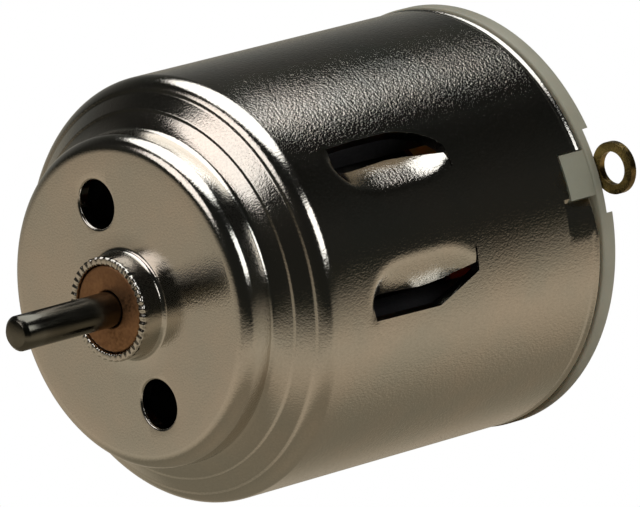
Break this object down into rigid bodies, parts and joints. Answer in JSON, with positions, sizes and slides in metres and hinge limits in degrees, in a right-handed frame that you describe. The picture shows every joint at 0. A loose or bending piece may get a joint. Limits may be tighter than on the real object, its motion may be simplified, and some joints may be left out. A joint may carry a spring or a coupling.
{
  "type": "brushed dc motor",
  "caption": "Small round brushed permanent-magnet DC motor with a steel can, stepped nose, plain round shaft and a moulded end cap carrying ring solder terminals.",
  "frame": {"origin": "centre of the flat front mounting face, on the shaft axis", "axes": "the shaft points along -Y and the end cap is towards +Y; the two mounting holes lie at +Z and -Z, the terminals at +X and -X"},
  "size_m": [0.0296, 0.0372, 0.0244],
  "materials": {
    "nickel_plated_steel": "satin nickel plating with a fine grain",
    "ground_steel": "ground and polished",
    "sintered_bronze": "porous oil-filled bronze",
    "lamination_steel": "stamped stack, dull",
    "enamelled_copper": "lacquered copper wire",
    "bare_copper": "turned copper",
    "brass": "stamped brass",
    "phosphor_bronze": "rolled strip",
    "spring_steel": "drawn wire",
    "ferrite": "ground ceramic, matte",
    "carbon": "pressed carbon",
    "ivory_nylon": "moulded, matte, grey ivory",
    "insulating_fibre": "pressed fibre",
    "phenolic": "moulded phenolic"
  },
  "bodies": {
    "housing": {"can": "nickel_plated_steel", "front_bushing": "sintered_bronze", "rear_bushing": "sintered_bronze", "magnet_upper": "ferrite", "magnet_lower": "ferrite", "magnet_spring": "spring_steel", "end_cap": "ivory_nylon", "terminal_right": "brass", "terminal_left": "brass", "brush_arm_right": "phosphor_bronze", "brush_arm_left": "phosphor_bronze", "carbon_brush_right": "carbon", "carbon_brush_left": "carbon"},
    "rotor": {"shaft": "ground_steel", "front_thrust_washer": "ivory_nylon", "front_spacer": "ivory_nylon", "rear_thrust_washer": "ivory_nylon", "front_insulator": "insulating_fibre", "rotor_core": "lamination_steel", "rear_insulator": "insulating_fibre", "coil_1": "enamelled_copper", "coil_2": "enamelled_copper", "coil_3": "enamelled_copper", "commutator_hub": "phenolic", "commutator_segment_1": "bare_copper", "commutator_segment_2": "bare_copper", "commutator_segment_3": "bare_copper", "commutator_ring": "insulating_fibre"}
  },
  "joints": [
    {"name": "rotor_spin", "type": "hinge", "parent": "housing", "child": "rotor", "pos_m": [0, 0, 0], "axis": [0, -1, 0], "continuous": true}
  ]
}
